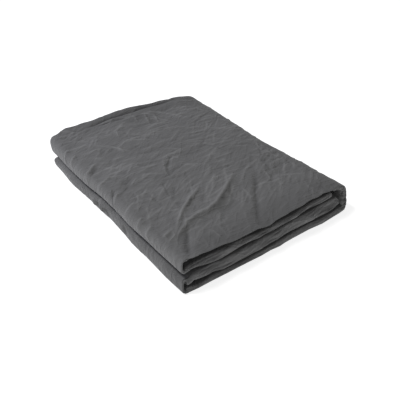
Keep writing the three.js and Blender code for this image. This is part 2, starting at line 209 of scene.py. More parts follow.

# Main creases: height of the crest (a trough's is below 0), its half widths to the left and
# the right of its course, and the course as places across X, or further round the band, and along Y
# Each main crease also paints a highlight on its crest and shade in its trough into the colour, with some
# wear
CREASES = (
    # front folds
    (4.8, 6.0, 2.6, ((-101, -133), (-83, -122), (-68, -119), (-52, -118), (-34, -111), (-5, -92), (22, -71))),
    (-2.4, 9.0, 9.0, ((-8, -112), (-22, -121), (-42, -127))),
    (3.8, 4.5, 2.6, ((-104, -128), (-91, -115), (-74, -99), (-52, -84), (-30, -69))),
    (2.6, 3.0, 2.5, ((-123, -131), (-108, -125))),
    (1.0, 1.6, 1.6, ((-69, -150), (-69, -167))),
    (-1.4, 3.0, 3.0, ((-27, -56), (-44, -68), (-54, -72))),
    (-1.4, 3.0, 3.0, ((-50, -85), (-58, -91), (-70, -98))),
    (-4.4, 4.5, 9.0, (
        (-84, -124), (-90, -132), (-97, -141), (-104, -151), (-110, -161), (-116, -170), (-119, -175),
    )),
    (1.2, 10.0, 10.0, ((-126, -181), (-112, -180), (-98, -179))),
    (-3.0, 7.0, 2.6, ((49, -82), (44, -89), (21, -118), (11, -132), (-5, -152), (-17, -170))),
    (-2.0, 5.0, 4.0, ((65, -98), (58, -106), (50, -114))),
    (1.3, 3.0, 3.0, ((45, -93), (56, -85), (66, -79), (79, -73))),
    (1.0, 3.0, 3.0, ((67, -101), (76, -88), (87, -77))),
    (-1.2, 3.0, 3.0, ((74, -73), (83, -65))),
    (-1.0, 4.0, 4.0, ((68, -103), (95, -103))),
    (1.2, 2.5, 2.5, ((76, -53), (95, -52), (110, -54))),
    (-1.0, 2.5, 2.5, ((97, -58), (113, -61))),
    (-1.0, 3.0, 3.0, ((90, -73), (109, -72))),
    (-1.0, 3.0, 3.0, ((85, -87), (103, -86))),
    # upper bight
    (-3.6, 2.0, 2.6, ((-122, -14), (-133, -24), (-143, -31))),
    (3.6, 2.6, 2.0, ((-120, -22), (-132, -32), (-143, -39))),
    (2.4, 3.0, 2.0, ((-121, -84), (-138, -92))),
    (2.4, 3.0, 2.0, ((-120, -104), (-138, -113))),
    (3.0, 2.0, 2.0, ((-119, 97), (-135, 85))),
    (3.0, 2.0, 2.0, ((-121, 118), (-139, 104))),
    (2.8, 2.4, 2.0, ((-110, 58), (-126, 47), (-139, 40))),
    (-1.5, 2.2, 2.6, ((-112, 48), (-126, 40), (-138, 32))),
    (2.4, 2.0, 2.4, ((-108, 20), (-124, 12), (-138, 8))),
    (2.4, 2.4, 2.0, ((-114, -52), (-128, -60), (-140, -64))),
    # lower bight
    (5.0, 12.0, 12.0, ((444, 190), (444, 120), (443, 62))),
    (4.0, 12.0, 12.0, ((443, 36), (443, 12), (443, -12))),
    (6.0, 3.0, 3.0, ((443, 28), (432, 23))),
    (-4.5, 3.0, 3.0, ((442, 18), (430, 13))),
    (6.0, 3.0, 3.0, ((443, 9), (432, 4))),
    (-4.5, 3.0, 3.0, ((442, -2), (430, -7))),
    (-5.0, 4.0, 4.0, ((442, -50), (429, -55))),
    # middle folds
    (1.6, 5.0, 3.0, ((-47, -18), (-42, -6), (-34, 7), (-24, 14), (-15, 18))),
    (-1.6, 3.0, 3.0, ((-48, -28), (-38, -7), (-29, 3), (-20, 11))),
    (1.2, 2.5, 2.5, ((-50, -30), (-38, -27), (-24, -21))),
    (-1.6, 4.0, 1.8, ((-55, -50), (-62, -60), (-72, -72))),
    (-2.2, 3.5, 3.5, ((-88, 0), (-97, -5), (-106, -11))),
    (1.4, 3.0, 3.0, ((-97, -15), (-84, -6))),
    (1.1, 2.0, 2.0, ((-80, 2), (-62, 5), (-48, 6))),
    (0.9, 2.0, 2.0, ((-92, 30), (-76, 34))),
    (-1.1, 2.5, 2.5, ((-50, 41), (-10, 42), (20, 40))),
    (-1.0, 2.5, 2.5, ((-47, 56), (-17, 57))),
    (-1.0, 2.5, 2.5, ((-5, 7), (25, 14))),
    (-1.0, 2.5, 2.5, ((0, 99), (55, 101))),
    (1.0, 6.0, 6.0, ((45, -7), (115, -13))),
    # back folds
    (1.8, 2.2, 2.2, ((19, 149), (14, 132), (9, 116))),
    (1.8, 2.2, 2.2, ((32, 143), (24, 116))),
    (1.4, 2.0, 2.0, ((0, 146), (-2, 134))),
    (1.4, 2.0, 2.0, ((-46, 119), (-51, 102))),
    (-4.5, 20.0, 20.0, ((-25, 136), (5, 138), (43, 141), (75, 146))),
    (-3.0, 15.0, 15.0, ((-22, 116), (18, 119), (48, 122))),
    (1.0, 1.6, 1.6, ((-65, 79), (-65, 61))),
    (-1.6, 3.0, 3.0, ((-92, 78), (-84, 81))),
    (1.0, 2.0, 2.0, ((-87, 75), (-74, 80))),
    (-1.6, 4.0, 4.0, ((-68, 157), (-84, 147))),
    (-1.3, 3.0, 3.0, ((-119, 150), (-104, 157))),
    (-4.6, 4.0, 4.0, (
        (-85, 160), (-62, 164), (-37, 168), (-16, 166), (8, 167), (35, 170), (60, 168), (88, 167),
    )),
    (-3.4, 3.0, 3.0, ((-62, 160), (-48, 158), (-28, 156), (-8, 152))),
    (1.2, 2.0, 2.0, ((-60, 161), (-35, 162), (-5, 160))),
)

# Rounding of a main crease's crest, the share of its course in which it fades at each end, how far a trough
# presses on the inner face, in steps of that face, and the height at which a main crease halves the small
# creases on it
CREST_ROUND = 0.9
CREASE_TAPER = 0.3
TROUGH_REACH = 1.3
CALM_HIGH = 1.5

# Small wash creases: seed, how many, the least and the most of each size, the power that makes few of them
# steep, the share of their length in which they fade at each end, the share of ridges among them, and which
# way they run. At the back they run across the pile, and from the middle to the front they turn. Near the
# front and the bights they keep a share of their height and of their painted highlight, painted shade and
# wear.
WASH_SEED = 1
WASH_CREASES = 2800
WASH_LONG = (12.0, 60.0)
WASH_WIDE = (1.2, 4.2)
WASH_SLOPE = (0.015, 0.3)
WASH_FEW_STEEP = 3
WASH_TAPER = 0.3
WASH_RIDGES = 0.6
WASH_SPREAD = math.radians(28)
WASH_FRONT_TURN = math.radians(35)
WASH_TURN_ALONG = (-90.0, 20.0)
CALM = 0.4
CALM_ALONG = (-160.0, -100.0)
CALM_ACROSS = (-128.0, -95.0)

# Painted light and shade with some wear, pale above 0 and dark below: its half width on a small crease, how
# much painted shade a small trough shows, its share of a main crease's half width, the slope that is painted
# in full, the least and the most in all, and the run at the front and the back in which the cloth is painted
# darker as shade, and by how much
CREST_WIDE = 1.3
TROUGH_PAINTED_SHADE = 0.5
CREST_SHARE = 0.5
CREST_STEEP = 0.85
SHADING_AND_WEAR_RANGE = (-1.6, 1.0)
END_RUN = 50.0
FRONT_PAINTED_SHADE = -0.55
BACK_PAINTED_SHADE = -0.4

# Slow unevenness of the cloth over the plies below it: number of waves, lengths and height of the longest
WAVES = 14
WAVE_LONG = (32.0, 110.0)
WAVE_HIGH = 0.35

# Unevenness of the band's long edges: seed, number of waves, their lengths and how far each goes out
EDGE_SEED = 21
EDGE_WAVES = 8
EDGE_WAVE_LONG = (25.0, 120.0)
EDGE_WAVE_OUT = 0.3

# Plies that show at the front edge: how far they go out with their waves, the band's thickness that shows
# them in full and how much their painted light and shade follows the waves, paler where a ply or pleat stands
# out, then the pleats: their length, the length in which they drift to and fro and how far, in radians
PLY_OUT = 0.35
PLY_THICK = 6.0
PLY_PAINTED_SHADING = 0.5
PLEAT_LONG = 6.0
PLEAT_DRIFT = 23.0
PLEAT_UNEVEN = 0.8

# Linen: its roughness, gloss and fuzz, how much its colour changes with full painted light, shade and wear,
# and its noises' detail
LINEN_ROUGH = 0.92
LINEN_GLOSS = 0.2
LINEN_FUZZ = 0.12
FUZZ_ROUGH = 0.5
SHADING_AND_WEAR_TONE = 0.4
NOISE_DETAIL = 1.5

# Yarns: width and length of their slubs in metres, the noise's range from dark to light yarns and their tones
YARN_WIDTH = 0.0006
YARN_LENGTH = 0.008
TONE_RANGE = (0.36, 0.64)
DARK_YARN = 0.96
LIGHT_YARN = 1.04

# Fine crinkles: turn, width and length in metres, and thinness of the crests, then their height in metres and
# how strongly it shows
CRINKLES = (
    (math.radians(4), 0.009, 0.05, 5.0),
    (math.radians(-38), 0.011, 0.04, 5.0),
)
CRINKLE_HIGH = 0.0006
CRINKLE_STRENGTH = 0.8

# Stage: roughness of the floor, how far it lies below the pile in metres, and the place, aim and width of the
# lights in metres and their colours
FLOOR_ROUGH = 0.9
FLOOR_DROP = 0.0002
KEY_LIGHT = {"place": (-0.96, 0.26, 1.96), "aim": (0, 0, 0), "size": 0.5, "colour": (1.0, 1.0, 1.0)}
FILL_LIGHT = {
    "place": (-0.52, 0.45, 0.5), "aim": (-0.13, 0.1, 0.03), "size": 0.3, "colour": (0.9, 0.93, 1.25),
}

# Camera, as fitted to the view: its turn round the pile, its rise and its distance from a point above the
# pile's middle, the height of that point, and the camera's offset to the right and up, then its lens
VIEW_TURN = math.radians(-35.23)
VIEW_RISE = math.radians(34.67)
VIEW_DISTANCE = 787.96
VIEW_MIDDLE = 22.0
VIEW_RIGHT = 16.17
VIEW_UP = -38.9
LENS = 51.16


def mix(start, end, share):
    """A value that goes from start to end as share goes from 0 to 1."""
    return start + (end - start) * share


def smooth(low, high, value):
    """0 below low, 1 above high, and a cubic with level ends between them."""
    share = np.clip((value - low) / (high - low), 0, 1)
    return share * share * (3 - 2 * share)


def curve_through(values, share):
    """A cubic through evenly spaced values at shares of its length.

    Each stretch starts and ends with half the difference of its neighbours as its slope.
    """
    stack = np.stack([np.broadcast_to(value, share.shape).astype(float) for value in values])
    first = 2 * stack[:1] - stack[1:2]
    final = 2 * stack[-1:] - stack[-2:-1]
    stack = np.concatenate([first, stack, final])
    stretches = len(values) - 1
    place = np.clip(share, 0, 1) * stretches
    index = np.minimum(place.astype(int), stretches - 1)
    before, start, end, after = (
        np.take_along_axis(stack, (index + step)[None], axis=0)[0] for step in range(4)
    )
    t = place - index
    start_slope = (end - before) / 2
    end_slope = (after - start) / 2
    return (
        start * (1 + 2 * t) * (1 - t) ** 2
        + start_slope * t * (1 - t) ** 2
        + end * t * t * (3 - 2 * t)
        + end_slope * t * t * (t - 1)
    )


class Pile:
    """Places that the layers share, worked out from the settled pile's outer size in millimetres."""

    def __init__(self, size):
        self.across = ACROSS_SHARE * size[0]
        self.along = ALONG_SHARE * size[1]
        self.high = HIGH_SHARE * size[2]
        self.left = -self.across / 2
        self.right = self.across / 2
        self.upper_start = self.left + UPPER_REACH
        self.lower_start = self.left + LOWER_BIGHT_BACK + LOWER_REACH
        self.spine_start = self.right - SPINE_REACH - SPINE_FOOT / 2
        self.second_end = self.right - SECOND_SHORT
        self.third_end = self.right - THIRD_SHORT

    def face(self, name, x):
        """Height of a layer's face: a curve through its heights in the table of faces."""
        share = (x - self.upper_start) / (self.second_end - self.upper_start)
        return curve_through(FACES[name], share)


def layer_course(pile, name, share):
    """Outer face's X and Z and the thickness of one layer, at shares of its length."""
    if name == "second":
        x = mix(pile.second_end, pile.upper_start, share)
        z = pile.face("parting", x)
        return x, z, pile.face("second upper", x) - z
    if name == "top":
        x = mix(pile.upper_start, pile.spine_start, share)
        return x, np.full_like(x, pile.high), np.full_like(x, TOP_THICK)
    if name == "bottom":
        x = mix(pile.spine_start + SPINE_FOOT, pile.lower_start, share)
        return x, np.zeros_like(x), pile.face("bottom upper", x)
    x = mix(pile.lower_start, pile.third_end, share)
    groove = GROOVE * (1 - smooth(0, GROOVE_RUN, x - pile.lower_start))
    z = pile.face("parting", x) - PARTING - groove
    return x, z, z - pile.face("third lower", x)


def layer_fill(pile, name, x):
    """How far a layer's inner face sinks inside the pile: the space below less a gap, faded at the sides."""
    if name == "top":
        space = pile.high - TOP_THICK - pile.face("second upper", x)
    elif name == "third":
        space = pile.face("third lower", x) - pile.face("bottom upper", x)
    else:
        return np.zeros_like(x)
    fade = smooth(0, FILL_RUN, x - pile.upper_start) * smooth(0, FILL_RUN, pile.second_end - x)
    return np.maximum(space - FILL_GAP, 0) * fade


def layer_rows(pile, name, turn_before, turn_after):
    """One layer as rows of the band.

    Even steps mixed with a half cosine bring the rows closer together at its ends. Within a short run of a
    turn its thickness and ends pass smoothly into that turn's own.
    """
    layer = LAYERS[name]
    even = np.linspace(0, 1, layer["rows"])
    share = mix(even, (1 - np.cos(np.pi * even)) / 2, END_CROWDING)
    x, z, thick = layer_course(pile, name, share)
    long = abs(x[-1] - x[0])
    rows = {"x": x, "z": z, "thick": thick, "fill": layer_fill(pile, name, x)}
    for key in ("front_in", "front_lean", "creased", "worn"):
        rows[key] = np.full_like(x, layer[key])
    bow = layer["back_bow"] * np.sin(np.pi * share)
    rows["back_in"] = mix(layer["back_first"], layer["back_last"], share) - bow
    for turn, distance, end in ((turn_before, share * long, -1), (turn_after, (1 - share) * long, 0)):
        if turn:
            near = 1 - smooth(0, turn["run_in"], distance)
            rows["thick"] = mix(rows["thick"], turn["thick"][end], near)
            rows["front_in"] = mix(rows["front_in"], turn["front"][end], near)
            rows["front_lean"] = mix(rows["front_lean"], 0, near)
            corner = 1 - smooth(0, CORNER_RUN, distance)
            rows["back_in"] = mix(rows["back_in"], turn["back"][end], corner)
    rows["pleats"] = np.zeros_like(x)
    return rows


def turn_course(turn, before, after, share):
    """Outer face's X and Z of one turn, half of a rounded square between two layers, at shares of its angle.

    It bulges by its reach times the cosine of the angle to the power 2 / square, and it rises by half the
    height between the layers times the sine to that power.
    """
    angle = np.pi * (share - 0.5)
    power = 2 / mix(*turn["square"], share)
    middle = (before["z"][-1] + after["z"][0]) / 2
    half = (after["z"][0] - before["z"][-1]) / 2
    x = mix(before["x"][-1], after["x"][0], share) + turn["side"] * turn["reach"] * np.cos(angle) ** power
    return x, middle + half * np.sign(angle) * np.abs(np.sin(angle)) ** power


def turn_rows(name, before, after):
    """One turn as rows of the band, evenly spaced along its course."""
    turn = TURNS[name]
    fine = np.linspace(0, 1, TURN_STEPS)
    steps = np.hypot(*np.diff(turn_course(turn, before, after, fine), axis=1))
    long = np.concatenate([[0], np.cumsum(steps)])
    share = np.interp(np.linspace(0, long[-1], turn["rows"] + 2)[1:-1], long, fine)
    x, z = turn_course(turn, before, after, share)
    return {
        "x": x,
        "z": z,
        "thick": curve_through(turn["thick"], share),
        "fill": np.zeros_like(share),
        "front_in": curve_through(turn["front"], share),
        "back_in": mix(*turn["back"], share),
        "front_lean": np.zeros_like(share),
        "creased": np.clip(curve_through(turn["creased"], share), 0, 1),
        "worn": curve_through(turn["worn"], share),
        "pleats": curve_through(turn["pleats"], share),
    }


def nose_rows(rows, end, long):
    """Rows past a free end, which is half an ellipse.

    They reach out with the sine of even steps and thin with the cosine.
    """
    angle = NOSE_END * np.pi / 2 * np.arange(1, NOSE_ROWS + 1) / NOSE_ROWS
    nose = {key: np.full(NOSE_ROWS, values[end]) for key, values in rows.items()}
    half = nose["thick"] / 2
    nose["x"] = nose["x"] + long * np.sin(angle)
    nose["outer_depth"] = half - half * np.cos(angle)
    nose["inner_depth"] = half + half * np.cos(angle)
    return nose


def band_rows(pile):
    """The whole band, from the free end of the second layer to the free end of the third.

    out_x and out_z are the direction square to the band's path, and path is the length along the outer face,
    which equals X on the top.
    """
    turns = [None, *TURNS.values(), None]
    layers = [layer_rows(pile, name, *turns[index:index + 2]) for index, name in enumerate(LAYERS)]
    pieces = [layers[0]]
    for index, name in enumerate(TURNS):
        pieces += [turn_rows(name, layers[index], layers[index + 1]), layers[index + 1]]
    rows = {key: np.concatenate([piece[key] for piece in pieces]) for key in pieces[0]}
    run_x = np.gradient(rows["x"])
    run_z = np.gradient(rows["z"])
    long = np.hypot(run_x, run_z)
    rows["out_x"] = -run_z / long
    rows["out_z"] = run_x / long
    rows["outer_depth"] = np.zeros_like(long)
    rows["inner_depth"] = rows["thick"].copy()
    first = {key: values[::-1] for key, values in nose_rows(rows, 0, LAYERS["second"]["nose"]).items()}
    last = nose_rows(rows, -1, LAYERS["third"]["nose"])
    rows = {key: np.concatenate([first[key], rows[key], last[key]]) for key in rows}
    steps = np.hypot(np.diff(rows["x"]), np.diff(rows["z"]))
    path = np.concatenate([[0], np.cumsum(steps)])
    on_top = rows["z"] >= pile.high
    middle = np.argmin(np.where(on_top, np.abs(rows["x"]), np.inf))
    rows["path"] = path - path[middle] + rows["x"][middle]
    return rows


def edge_wave(path, rng):
    """Uneven line of a long edge: a sum of seeded sines of the path length."""
    wave = np.zeros_like(path)
    for long, phase in zip(rng.uniform(*EDGE_WAVE_LONG, EDGE_WAVES), rng.uniform(0, 2 * np.pi, EDGE_WAVES)):
        wave += EDGE_WAVE_OUT * np.sin(2 * np.pi * path / long + phase)
    return wave


def ply_waves(rows, rng):
    """Uneven lines of the plies at the front edge, one for each point round it, with the pleats of the turns.

    The plies' waves are less where the band is thin. A pleat is a sine of the path length, whose phase drifts
    with a slower sine.
    """
    waves = np.stack([edge_wave(rows["path"], rng) for _ in range(EDGE_POINTS)], axis=1) / EDGE_WAVE_OUT
    uneven = PLEAT_UNEVEN * np.sin(2 * np.pi * rows["path"] / PLEAT_DRIFT)
    pleats = rows["pleats"] * np.sin(2 * np.pi * rows["path"] / PLEAT_LONG + uneven)
    return waves * np.minimum(1, rows["thick"] / PLY_THICK)[:, None] + pleats[:, None]


def ring_grid(pile, rows, plies, rng):
    """Places along Y and depths below the outer face, for each row and each point of the ring round the band.

    The ring runs along the outer face from front to back, round the back edge, along the inner face from back
    to front and round the front edge. Each edge is half an ellipse. The front one shows the plies, and it
    leans back with the square of the share of its depth.
    """
    middle = (rows["outer_depth"] + rows["inner_depth"])[:, None] / 2
    half = (rows["inner_depth"] - rows["outer_depth"])[:, None] / 2
    rounding = np.minimum(EDGE_ROUND, half)
    front = -pile.along / 2 + (rows["front_in"] + edge_wave(rows["path"], rng))[:, None] + rounding
    back = pile.along / 2 - (rows["back_in"] + edge_wave(rows["path"], rng))[:, None] - rounding
    lean = rows["front_lean"][:, None]
    angle = np.pi * np.arange(1, EDGE_POINTS + 1) / (EDGE_POINTS + 1)
    outer = np.linspace(0, 1, OUTER_POINTS)
    inner = np.linspace(0, 1, INNER_POINTS)
    inner_y = mix(back, front + lean, inner)
    inside = smooth(0, FILL_RUN, np.minimum(back - inner_y, inner_y - front - lean))
    y = np.concatenate([
        mix(front, back, outer),
        back + rounding * np.sin(angle),
        inner_y,
        front + lean * ((1 + np.cos(angle)) / 2) ** 2 - (rounding + PLY_OUT * plies) * np.sin(angle),
    ], axis=1)
    depth = np.concatenate([
        (middle - half) * np.ones_like(outer),
        middle - half * np.cos(angle),
        middle + half + rows["fill"][:, None] * inside,
        middle + half * np.cos(angle),
    ], axis=1)
    return y, depth


def settle(pile, x, y, z):
    """Moves the even section to where it lies in the settled pile.

    Heights are multiplied by the settled share at X and Y, so layers can't cross and the underside stays
    flat. The parting sinks by a half wave of the height, which is 0 at the floor and at the top. The sides
    move by bell curves along Y, and the ends run askew in step with X.
    """
    share_x = (x - pile.left) / pile.across
    share_y = y / pile.along + 0.5
    share = curve_through([curve_through(row, share_x) for row in SETTLED], share_y)
    sink = PARTING_SINK * smooth(*SINK_ALONG, share_y) * (1 - smooth(*SINK_ACROSS, x - pile.left))
    z = z - sink * np.sin(np.pi * z / pile.high)
    side = np.minimum(1, np.abs(x) / pile.right) ** SIDE_POWER
    bulge = np.zeros_like(x)
    for direction, place, wide, out in SIDE_BULGES:
        bulge += (direction * x > 0) * direction * out * np.exp(-(((y - place) / wide) ** 2))
    skew = mix(FRONT_SKEW, BACK_SKEW, share_y)
    return np.stack([x + bulge * side, y + x * skew, z * share], axis=2)


def course_distance(course, u, v):
    """Distance to the nearest stretch of a course, above 0 on its left, and the share of its length there."""
    points = np.array(course, float)
    longs = np.hypot(*np.diff(points, axis=0).T)
    starts = np.concatenate([[0], np.cumsum(longs)])
    nearest = np.full(u.shape, np.inf)
    aside = np.zeros(u.shape)
    along = np.zeros(u.shape)
    for index, long in enumerate(longs):
        run_u, run_v = (points[index + 1] - points[index]) / long
        from_u = u - points[index, 0]
        from_v = v - points[index, 1]
        reach = from_u * run_u + from_v * run_v
        held = np.clip(reach, 0, long)
        distance = np.hypot(from_u - held * run_u, from_v - held * run_v)
        closer = distance < nearest
        side = np.where(from_v * run_u - from_u * run_v >= 0, 1, -1)
        aside = np.where(closer, side * distance, aside)
        along = np.where(closer, starts[index] + reach, along)
        nearest = np.minimum(nearest, distance)
    return aside, along / starts[-1]


def crease(course, high, left_wide, right_wide, u, v):
    """Height and wear of a crease that is sharpest along its course.

    The height falls as e to the power of minus the distance over the half width of that side, with a small
    rounding at the crest, and fades towards the two ends of its course. The crest is painted pale, a painted
    highlight with some wear, and a trough is painted dark as shade, as a bell curve of the distance, and the
    more the steeper it is.
    """
    aside, along = course_distance(course, u, v)
    wide = np.where(aside > 0, left_wide, right_wide)
    ends = smooth(-CREASE_TAPER / 2, CREASE_TAPER, along)
    ends *= 1 - smooth(1 - CREASE_TAPER, 1 + CREASE_TAPER / 2, along)
    steep = 2 * high / (left_wide + right_wide)
    # Painted highlight on the crest and painted shade in a trough, with some wear, steeper creases more
    painted_shading_and_wear = steep / CREST_STEEP * ends * np.exp(-((aside / (CREST_SHARE * wide)) ** 2))
    return high * ends * np.exp((CREST_ROUND - np.hypot(aside, CREST_ROUND)) / wide), painted_shading_and_wear


def wash_creases(u, v, rng):
    """Small straight creases of the washed linen, scattered with a fixed seed over the shown faces.

    Each is a tent: its height falls evenly to both sides, and fades at both ends. Its crest is painted pale,
    a painted highlight with some wear, and a trough less strongly dark as painted shade, as a bell curve of
    the distance, and the more the steeper it is.
    """
    height = np.zeros_like(u)
    painted_shading_and_wear = np.zeros_like(u)
    places = np.stack([rng.choice(u[:, 0], WASH_CREASES), rng.uniform(v.min(), v.max(), WASH_CREASES)])
    turns = rng.normal(0, WASH_SPREAD, WASH_CREASES)
    turns += WASH_FRONT_TURN * (1 - smooth(*WASH_TURN_ALONG, places[1]))
    longs = rng.uniform(*WASH_LONG, WASH_CREASES)
    wides = rng.uniform(*WASH_WIDE, WASH_CREASES)
    slopes = mix(*WASH_SLOPE, rng.uniform(size=WASH_CREASES) ** WASH_FEW_STEEP)
    signs = np.where(rng.uniform(size=WASH_CREASES) < WASH_RIDGES, 1, -1)
    for place, turn, long, wide, slope, sign in zip(places.T, turns, longs, wides, slopes, signs):
        reach = long / 2 + wide
        patch = np.ix_(np.abs(u[:, 0] - place[0]) < reach, np.abs(v.mean(axis=0) - place[1]) < reach)
        from_u = u[patch] - place[0]
        from_v = v[patch] - place[1]
        along = from_u * math.cos(turn) + from_v * math.sin(turn)
        aside = from_v * math.cos(turn) - from_u * math.sin(turn)
        ends = np.clip((0.5 - np.abs(along) / long) / WASH_TAPER, 0, 1)
        height[patch] += sign * slope * ends * np.clip(wide - np.abs(aside), 0, None)
        # Painted highlight on a ridge's crest and weaker painted shade in a trough, with some wear
        tone = max(sign, -TROUGH_PAINTED_SHADE) * slope / WASH_SLOPE[1]
        painted_shading_and_wear[patch] += tone * ends * np.exp(-((aside / CREST_WIDE) ** 2))
    return height, painted_shading_and_wear


def slow_waves(u, v, rng):
    """Slow unevenness: a sum of seeded plane waves, each higher the longer it is."""
    height = np.zeros_like(u)
    longs = rng.uniform(*WAVE_LONG, WAVES)
    turns = rng.uniform(0, np.pi, WAVES)
    phases = rng.uniform(0, 2 * np.pi, WAVES)
    for long, turn, phase in zip(longs, turns, phases):
        along = u * math.cos(turn) + v * math.sin(turn)
        height += WAVE_HIGH * long / WAVE_LONG[1] * np.sin(2 * np.pi * along / long + phase)
    return height


def trough_depths(height):
    """The lowest height of the outer face over each point of the inner face, and as far as its neighbours."""
    reach = math.ceil(TROUGH_REACH * OUTER_POINTS / INNER_POINTS)
    padded = np.pad(height, ((0, 0), (reach, reach)), mode="edge")
    lowest = np.lib.stride_tricks.sliding_window_view(padded, 2 * reach + 1, axis=1).min(axis=2)
    above = np.linspace(OUTER_POINTS - 1, 0, INNER_POINTS).astype(int)
    return lowest[:, above]


def crumple(rows, points, rng):
    """Raises and lowers the shown faces, square to the band's path, by the creases and waves, and paints
    shade, light and wear.

    The creases are worked out on the cloth laid flat: the path length across and Y along. An edge moves as
    one with the end of the outer face. The inner face moves with it, less and less from the pile's ends
    inwards, but always at least as far in as the deepest trough above it.
    """
    outer = slice(0, OUTER_POINTS)
    u = np.broadcast_to(rows["path"][:, None], points[:, outer, 1].shape)
    v = points[:, outer, 1]
    creased = rows["creased"] > 0
    share = rows["creased"][creased, None]
    height = np.zeros(u.shape)
    painted_shading_and_wear = np.zeros(points.shape[:2])
    u_creased, v_creased = u[creased], v[creased]
    washed, worn = wash_creases(u_creased, v_creased, rng)
    from_bights = smooth(*CALM_ACROSS, u_creased)
    calm = mix(CALM, 1, smooth(*CALM_ALONG, v_creased) * from_bights)
    washed = washed * calm + slow_waves(u_creased, v_creased, rng)
    from_front = smooth(0, END_RUN, v_creased - v_creased[:, :1])
    from_back = smooth(0, END_RUN, v_creased[:, -1:] - v_creased)
    # Painted shade: the cloth is painted darker in a run at the front and the back, less towards the bights
    worn = worn * calm + (FRONT_PAINTED_SHADE * (1 - from_front) + BACK_PAINTED_SHADE * (1 - from_back)) * from_bights
    main = np.zeros_like(u_creased)
    for high, left_wide, right_wide, course in CREASES:
        crest, crest_shading_and_wear = crease(course, high, left_wide, right_wide, u_creased, v_creased)
        main += crest
        worn += crest_shading_and_wear
    height[creased] = (main + washed / (1 + np.abs(main) / CALM_HIGH)) * share
    # Painted light and shade with some wear on the shown faces, with each layer's and turn's own painted
    # light
    painted_shading_and_wear[creased, outer] = np.clip(worn * share + rows["worn"][creased, None], *SHADING_AND_WEAR_RANGE)
    inner_v = points[:, OUTER_POINTS + EDGE_POINTS:-EDGE_POINTS, 1]
    by_back = 1 - smooth(0, FILL_RUN, inner_v[:, :1] - inner_v)
    by_front = 1 - smooth(0, FILL_RUN, inner_v - inner_v[:, -1:])
    edge = np.ones(EDGE_POINTS)
    ring = np.concatenate([
        height,
        height[:, -1:] * edge,
        np.minimum(height[:, -1:] * by_back + height[:, :1] * by_front, trough_depths(height)),
        height[:, :1] * edge,
    ], axis=1)
    outward = np.stack([rows["out_x"], np.zeros_like(rows["out_x"]), rows["out_z"]], axis=1)
    return points + outward[:, None] * ring[..., None], painted_shading_and_wear


def cover_grid(size):
    """Points of the folded cover as rows of rings, their places on the cloth laid flat, and their painted
    light and shade with wear.

    Points and places are in millimetres. A row's last place closes its ring.
    """
    pile = Pile(size)
    rng = np.random.default_rng(EDGE_SEED)
    rows = band_rows(pile)
    plies = ply_waves(rows, rng)
    y, depth = ring_grid(pile, rows, plies, rng)
    x = rows["x"][:, None] - rows["out_x"][:, None] * depth
    z = rows["z"][:, None] - rows["out_z"][:, None] * depth
    points = settle(pile, x, y, z)
    points -= (*SETTLED_MIDDLE, points[..., 2].min())
    points, painted_shading_and_wear = crumple(rows, points, np.random.default_rng(WASH_SEED))
    # Painted light and shade on the front edge: paler where a ply or pleat stands out, darker where it sinks
    # in
    painted_shading_and_wear[:, -EDGE_POINTS:] = np.clip(PLY_PAINTED_SHADING * plies + rows["worn"][:, None], *SHADING_AND_WEAR_RANGE)
    points[..., 2] = np.maximum(points[..., 2], 0)
    closed = np.concatenate([points, points[:, :1]], axis=1)
    around = np.linalg.norm(np.diff(closed, axis=1), axis=2)
    ring_long = np.concatenate([np.zeros((len(points), 1)), np.cumsum(around, axis=1)], axis=1)
    flat = np.stack([np.broadcast_to(rows["path"][:, None], ring_long.shape), ring_long], axis=2)
    return points, flat, painted_shading_and_wear


def ringed_mesh(name, points, flat, painted_shading_and_wear):
    """A closed mesh of quads between the rings, with a many-sided face on each free end.

    The UV map named cloth holds the place on the cloth laid flat, in metres, and the attribute of painted
    light, shade and wear how pale, or below 0 how dark, a point is painted.
    """
    rows, ring = points.shape[:2]
    index = np.arange(rows * ring).reshape(rows, ring)
    turned = np.roll(index, -1, axis=1)
    quads = np.stack([index[:-1], index[1:], turned[1:], turned[:-1]], axis=2).reshape(-1, 4)
    ends = [index[0].tolist(), index[-1][::-1].tolist()]
    mesh = bpy.data.meshes.new(name)
    mesh.from_pydata((points.reshape(-1, 3) * MM).tolist(), [], quads.tolist() + ends)
    corners = [flat[:-1, :-1], flat[1:, :-1], flat[1:, 1:], flat[:-1, 1:]]
    places = np.stack(corners, axis=2).reshape(-1, 2)
    places = np.concatenate([places, flat[0, :-1], flat[-1, :-1][::-1]]) * MM
    mesh.uv_layers.new(name="cloth").data.foreach_set("uv", places.ravel())
    mesh.attributes.new("painted_shading_and_wear", "FLOAT", "POINT").data.foreach_set("value", painted_shading_and_wear.ravel())
    mesh.polygons.foreach_set("use_smooth", np.ones(len(mesh.polygons), bool))
    mesh.update()
    mesh.validate()
    return mesh


def set_values(node, **values):
    """Sets plain values on a node's sockets, whose names are given with _ for each space."""
    for name, value in values.items():
        node.inputs[name.replace("_", " ")].default_value = value


def add_node(tree, kind, place, **values):
    """A node of the tree at a place in its editor, with plain values set on its named sockets."""
    node = tree.nodes.new(kind)
    node.location = place
    set_values(node, **values)
    return node


def shade_group(name, inputs, outputs):
    """A new shader node group with named sockets, and its input and output nodes."""
    tree = bpy.data.node_groups.new(name, "ShaderNodeTree")
    for socket, kind in inputs:
        tree.interface.new_socket(socket, in_out="INPUT", socket_type=kind)
    for socket, kind in outputs:
        tree.interface.new_socket(socket, in_out="OUTPUT", socket_type=kind)
    return tree, tree.nodes.new("NodeGroupInput"), tree.nodes.new("NodeGroupOutput")


